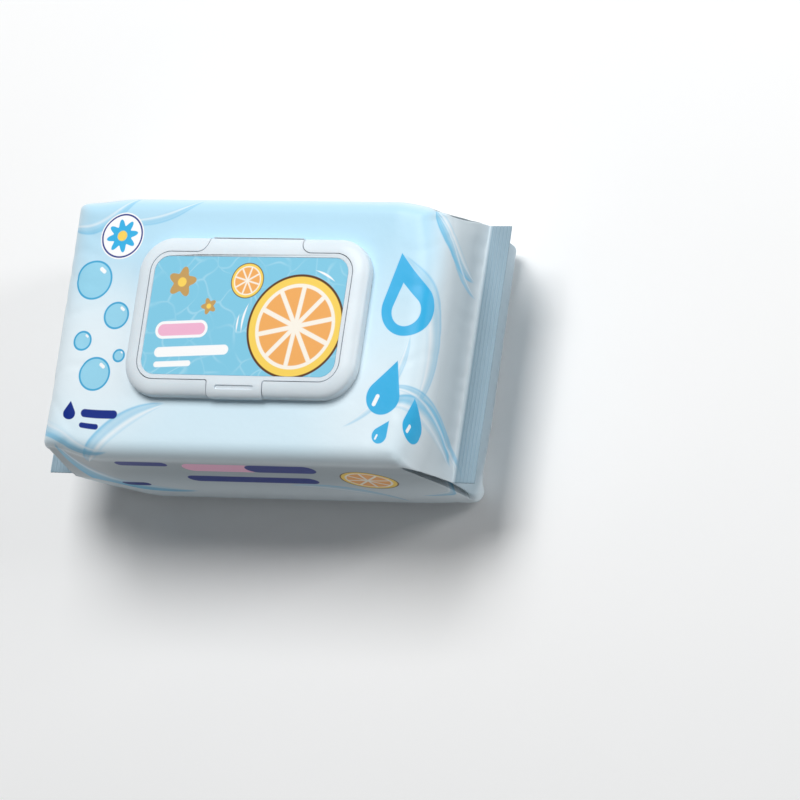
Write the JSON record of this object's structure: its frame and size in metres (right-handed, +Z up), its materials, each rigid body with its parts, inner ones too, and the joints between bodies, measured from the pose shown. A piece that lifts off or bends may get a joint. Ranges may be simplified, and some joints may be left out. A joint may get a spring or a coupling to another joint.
{
  "type": "wet wipes pack",
  "caption": "Gusseted film pack of folded wet wipes with crimped end fins and a moulded flip-top lid that hinges open over the dispensing opening.",
  "frame": {"origin": "middle of the face that the pack lies on", "axes": "+Z up out of the lid, +X along the pack's length, +Y towards the lid's hinge"},
  "size_m": [0.196, 0.111, 0.0738],
  "materials": {
    "printed_film": "soft gloss printed polyethylene film, pale blue",
    "lid_plastic": "translucent pale blue moulded polypropylene",
    "label_print": "gloss printed label, sky blue",
    "seal_film": "white peel-off film"
  },
  "bodies": {
    "pack": {"sealed_pack": "printed_film", "lid_base": "lid_plastic", "seal_sticker": "seal_film"},
    "flap": {"lid_flap": "lid_plastic", "lid_label": "label_print"}
  },
  "joints": [
    {"name": "lid_hinge", "type": "hinge", "parent": "pack", "child": "flap", "pos_m": [0.0035, 0.0365, 0.0708], "axis": [-1, 0, 0], "range_deg": [0, 165]}
  ]
}
